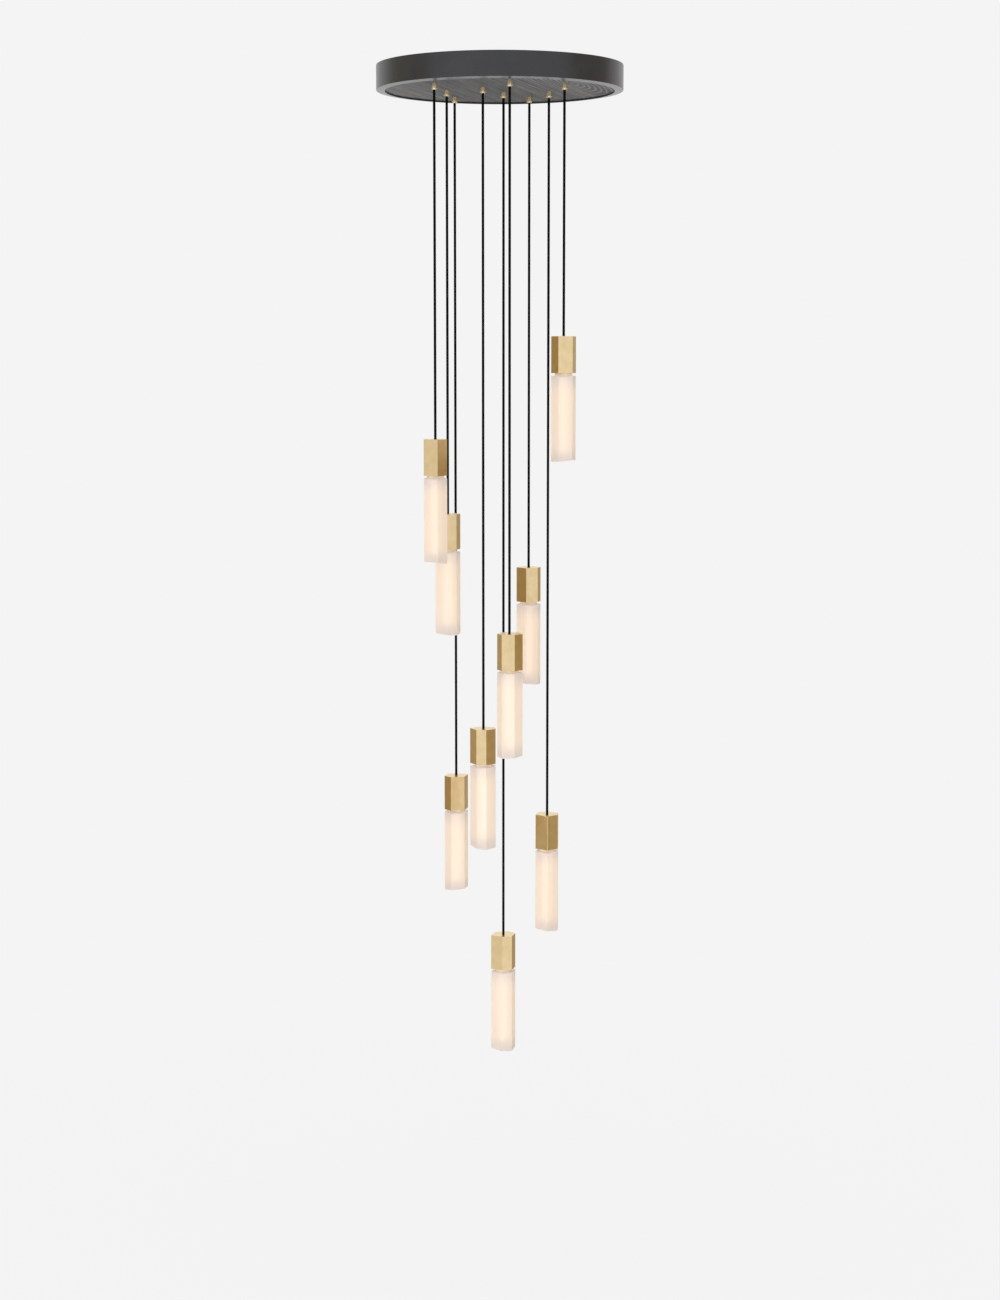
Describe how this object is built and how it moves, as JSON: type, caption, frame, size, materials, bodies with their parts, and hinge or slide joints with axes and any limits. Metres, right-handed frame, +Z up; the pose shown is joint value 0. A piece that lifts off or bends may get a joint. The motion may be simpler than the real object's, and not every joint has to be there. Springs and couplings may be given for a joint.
{
  "type": "cluster pendant lamp",
  "caption": "Cluster pendant: brass lampholders of irregular six-sided section with matching opal glass lamps hang on straight black cords at stepped heights from one round ceiling canopy.",
  "frame": {"origin": "on the ceiling plane, at the centre of the canopy's four ceiling screw holes", "axes": "+Z up into the ceiling, the lamps hang along -Z, -Y is the front, +X to the right seen from the front"},
  "size_m": [0.53, 0.53, 2.1798],
  "materials": {
    "band_paint": "satin charcoal powder coat",
    "stained_oak": "open-pored oak stained grey-black, matt",
    "zinc_steel": "zinc plated",
    "brass_fittings": "turned, satin",
    "brushed_brass": "brushed along the length, satin",
    "black_cord": "braided textile sleeve",
    "wire_sleeve": "grey insulation",
    "black_phenolic": "moulded, satin",
    "white_collar": "moulded, lit from inside",
    "opal_glass": "satin opal, lit from inside"
  },
  "bodies": {
    "canopy": {"canopy_band": "band_paint", "wood_disc": "stained_oak", "disc_clips": "zinc_steel", "clip_screws": "zinc_steel", "ceiling_bracket": "zinc_steel", "side_screws": "band_paint", "earth_screw": "brass_fittings", "cord_grips": "brass_fittings", "grub_screws": "zinc_steel", "grip_washers": "zinc_steel", "grip_nuts": "brass_fittings", "cord_tails": "black_cord", "inner_wires": "wire_sleeve", "junction_block": "black_phenolic", "junction_screw": "zinc_steel"},
    "hanging_cord_1": {"cord_1": "black_cord"},
    "socket_1": {"holder_1": "brushed_brass", "lampholder_1": "black_phenolic"},
    "bulb_carrier_1": {"bulb_base_1": "white_collar"},
    "bulb_1": {"bulb_glass_1": "opal_glass"},
    "hanging_cord_2": {"cord_2": "black_cord"},
    "socket_2": {"holder_2": "brushed_brass", "lampholder_2": "black_phenolic"},
    "bulb_carrier_2": {"bulb_base_2": "white_collar"},
    "bulb_2": {"bulb_glass_2": "opal_glass"},
    "hanging_cord_3": {"cord_3": "black_cord"},
    "socket_3": {"holder_3": "brushed_brass", "lampholder_3": "black_phenolic"},
    "bulb_carrier_3": {"bulb_base_3": "white_collar"},
    "bulb_3": {"bulb_glass_3": "opal_glass"},
    "hanging_cord_4": {"cord_4": "black_cord"},
    "socket_4": {"holder_4": "brushed_brass", "lampholder_4": "black_phenolic"},
    "bulb_carrier_4": {"bulb_base_4": "white_collar"},
    "bulb_4": {"bulb_glass_4": "opal_glass"},
    "hanging_cord_5": {"cord_5": "black_cord"},
    "socket_5": {"holder_5": "brushed_brass", "lampholder_5": "black_phenolic"},
    "bulb_carrier_5": {"bulb_base_5": "white_collar"},
    "bulb_5": {"bulb_glass_5": "opal_glass"},
    "hanging_cord_6": {"cord_6": "black_cord"},
    "socket_6": {"holder_6": "brushed_brass", "lampholder_6": "black_phenolic"},
    "bulb_carrier_6": {"bulb_base_6": "white_collar"},
    "bulb_6": {"bulb_glass_6": "opal_glass"},
    "hanging_cord_7": {"cord_7": "black_cord"},
    "socket_7": {"holder_7": "brushed_brass", "lampholder_7": "black_phenolic"},
    "bulb_carrier_7": {"bulb_base_7": "white_collar"},
    "bulb_7": {"bulb_glass_7": "opal_glass"},
    "hanging_cord_8": {"cord_8": "black_cord"},
    "socket_8": {"holder_8": "brushed_brass", "lampholder_8": "black_phenolic"},
    "bulb_carrier_8": {"bulb_base_8": "white_collar"},
    "bulb_8": {"bulb_glass_8": "opal_glass"},
    "hanging_cord_9": {"cord_9": "black_cord"},
    "socket_9": {"holder_9": "brushed_brass", "lampholder_9": "black_phenolic"},
    "bulb_carrier_9": {"bulb_base_9": "white_collar"},
    "bulb_9": {"bulb_glass_9": "opal_glass"}
  },
  "joints": [
    {"name": "swing_1", "type": "hinge", "parent": "canopy", "child": "hanging_cord_1", "pos_m": [-0.1375, -0.123, -0.0622], "axis": [1, 0, 0], "range_deg": [-3.5, 3.5]},
    {"name": "turn_1", "type": "hinge", "parent": "hanging_cord_1", "child": "socket_1", "pos_m": [-0.1375, -0.123, -0.7925], "axis": [0, 0, 1], "range_deg": [-180, 180], "stiffness_Nm_per_rad": 0.002},
    {"name": "bulb_travel_1", "type": "slide", "parent": "socket_1", "child": "bulb_carrier_1", "axis": [0, 0, -1], "range_m": [0, 0.0109]},
    {"name": "unscrew_1", "type": "hinge", "parent": "bulb_carrier_1", "child": "bulb_1", "pos_m": [-0.1375, -0.123, -0.8755], "axis": [0, 0, -1], "range_deg": [0, 1080]},
    {"name": "swing_2", "type": "hinge", "parent": "canopy", "child": "hanging_cord_2", "pos_m": [-0.114, 0.001, -0.0622], "axis": [1, 0, 0], "range_deg": [-3.5, 3.5]},
    {"name": "turn_2", "type": "hinge", "parent": "hanging_cord_2", "child": "socket_2", "pos_m": [-0.114, 0.001, -0.96], "axis": [0, 0, 1], "range_deg": [-180, 180], "stiffness_Nm_per_rad": 0.002},
    {"name": "bulb_travel_2", "type": "slide", "parent": "socket_2", "child": "bulb_carrier_2", "axis": [0, 0, -1], "range_m": [0, 0.0109]},
    {"name": "unscrew_2", "type": "hinge", "parent": "bulb_carrier_2", "child": "bulb_2", "pos_m": [-0.114, 0.001, -1.043], "axis": [0, 0, -1], "range_deg": [0, 1080]},
    {"name": "swing_3", "type": "hinge", "parent": "canopy", "child": "hanging_cord_3", "pos_m": [-0.0995, 0.133, -0.0622], "axis": [1, 0, 0], "range_deg": [-4.5, 4.5]},
    {"name": "turn_3", "type": "hinge", "parent": "hanging_cord_3", "child": "socket_3", "pos_m": [-0.0995, 0.133, -1.566], "axis": [0, 0, 1], "range_deg": [-180, 180], "stiffness_Nm_per_rad": 0.002},
    {"name": "bulb_travel_3", "type": "slide", "parent": "socket_3", "child": "bulb_carrier_3", "axis": [0, 0, -1], "range_m": [0, 0.0109]},
    {"name": "unscrew_3", "type": "hinge", "parent": "bulb_carrier_3", "child": "bulb_3", "pos_m": [-0.0995, 0.133, -1.649], "axis": [0, 0, -1], "range_deg": [0, 1080]},
    {"name": "swing_4", "type": "hinge", "parent": "canopy", "child": "hanging_cord_4", "pos_m": [-0.036, -0.059, -0.0622], "axis": [1, 0, 0], "range_deg": [-7, 7]},
    {"name": "turn_4", "type": "hinge", "parent": "hanging_cord_4", "child": "socket_4", "pos_m": [-0.036, -0.059, -1.427], "axis": [0, 0, 1], "range_deg": [-180, 180], "stiffness_Nm_per_rad": 0.002},
    {"name": "bulb_travel_4", "type": "slide", "parent": "socket_4", "child": "bulb_carrier_4", "axis": [0, 0, -1], "range_m": [0, 0.0109]},
    {"name": "unscrew_4", "type": "hinge", "parent": "bulb_carrier_4", "child": "bulb_4", "pos_m": [-0.036, -0.059, -1.51], "axis": [0, 0, -1], "range_deg": [0, 1080]},
    {"name": "swing_5", "type": "hinge", "parent": "canopy", "child": "hanging_cord_5", "pos_m": [0.008, 0.035, -0.0622], "axis": [1, 0, 0], "range_deg": [-7, 7]},
    {"name": "turn_5", "type": "hinge", "parent": "hanging_cord_5", "child": "socket_5", "pos_m": [0.008, 0.035, -1.913], "axis": [0, 0, 1], "range_deg": [-180, 180], "stiffness_Nm_per_rad": 0.002},
    {"name": "bulb_travel_5", "type": "slide", "parent": "socket_5", "child": "bulb_carrier_5", "axis": [0, 0, -1], "range_m": [0, 0.0109]},
    {"name": "unscrew_5", "type": "hinge", "parent": "bulb_carrier_5", "child": "bulb_5", "pos_m": [0.008, 0.035, -1.996], "axis": [0, 0, -1], "range_deg": [0, 1080]},
    {"name": "swing_6", "type": "hinge", "parent": "canopy", "child": "hanging_cord_6", "pos_m": [0.0205, -0.182, -0.0622], "axis": [1, 0, 0], "range_deg": [-7, 7]},
    {"name": "turn_6", "type": "hinge", "parent": "hanging_cord_6", "child": "socket_6", "pos_m": [0.0205, -0.182, -1.203], "axis": [0, 0, 1], "range_deg": [-180, 180], "stiffness_Nm_per_rad": 0.002},
    {"name": "bulb_travel_6", "type": "slide", "parent": "socket_6", "child": "bulb_carrier_6", "axis": [0, 0, -1], "range_m": [0, 0.0109]},
    {"name": "unscrew_6", "type": "hinge", "parent": "bulb_carrier_6", "child": "bulb_6", "pos_m": [0.0205, -0.182, -1.286], "axis": [0, 0, -1], "range_deg": [0, 1080]},
    {"name": "swing_7", "type": "hinge", "parent": "canopy", "child": "hanging_cord_7", "pos_m": [0.065, 0.13, -0.0622], "axis": [1, 0, 0], "range_deg": [-7, 7]},
    {"name": "turn_7", "type": "hinge", "parent": "hanging_cord_7", "child": "socket_7", "pos_m": [0.065, 0.13, -1.089], "axis": [0, 0, 1], "range_deg": [-180, 180], "stiffness_Nm_per_rad": 0.002},
    {"name": "bulb_travel_7", "type": "slide", "parent": "socket_7", "child": "bulb_carrier_7", "axis": [0, 0, -1], "range_m": [0, 0.0109]},
    {"name": "unscrew_7", "type": "hinge", "parent": "bulb_carrier_7", "child": "bulb_7", "pos_m": [0.065, 0.13, -1.172], "axis": [0, 0, -1], "range_deg": [0, 1080]},
    {"name": "swing_8", "type": "hinge", "parent": "canopy", "child": "hanging_cord_8", "pos_m": [0.106, 0.027, -0.0622], "axis": [1, 0, 0], "range_deg": [-7, 7]},
    {"name": "turn_8", "type": "hinge", "parent": "hanging_cord_8", "child": "socket_8", "pos_m": [0.106, 0.027, -1.635], "axis": [0, 0, 1], "range_deg": [-180, 180], "stiffness_Nm_per_rad": 0.002},
    {"name": "bulb_travel_8", "type": "slide", "parent": "socket_8", "child": "bulb_carrier_8", "axis": [0, 0, -1], "range_m": [0, 0.0109]},
    {"name": "unscrew_8", "type": "hinge", "parent": "bulb_carrier_8", "child": "bulb_8", "pos_m": [0.106, 0.027, -1.718], "axis": [0, 0, -1], "range_deg": [0, 1080]},
    {"name": "swing_9", "type": "hinge", "parent": "canopy", "child": "hanging_cord_9", "pos_m": [0.1355, -0.121, -0.0622], "axis": [1, 0, 0], "range_deg": [-7, 7]},
    {"name": "turn_9", "type": "hinge", "parent": "hanging_cord_9", "child": "socket_9", "pos_m": [0.1355, -0.121, -0.575], "axis": [0, 0, 1], "range_deg": [-180, 180], "stiffness_Nm_per_rad": 0.002},
    {"name": "bulb_travel_9", "type": "slide", "parent": "socket_9", "child": "bulb_carrier_9", "axis": [0, 0, -1], "range_m": [0, 0.0109]},
    {"name": "unscrew_9", "type": "hinge", "parent": "bulb_carrier_9", "child": "bulb_9", "pos_m": [0.1355, -0.121, -0.658], "axis": [0, 0, -1], "range_deg": [0, 1080]}
  ],
  "couplings": [
    {"joint": "bulb_travel_1", "follows": "unscrew_1", "m_per_rad": 0.00057757},
    {"joint": "bulb_travel_2", "follows": "unscrew_2", "m_per_rad": 0.00057757},
    {"joint": "bulb_travel_3", "follows": "unscrew_3", "m_per_rad": 0.00057757},
    {"joint": "bulb_travel_4", "follows": "unscrew_4", "m_per_rad": 0.00057757},
    {"joint": "bulb_travel_5", "follows": "unscrew_5", "m_per_rad": 0.00057757},
    {"joint": "bulb_travel_6", "follows": "unscrew_6", "m_per_rad": 0.00057757},
    {"joint": "bulb_travel_7", "follows": "unscrew_7", "m_per_rad": 0.00057757},
    {"joint": "bulb_travel_8", "follows": "unscrew_8", "m_per_rad": 0.00057757},
    {"joint": "bulb_travel_9", "follows": "unscrew_9", "m_per_rad": 0.00057757}
  ]
}
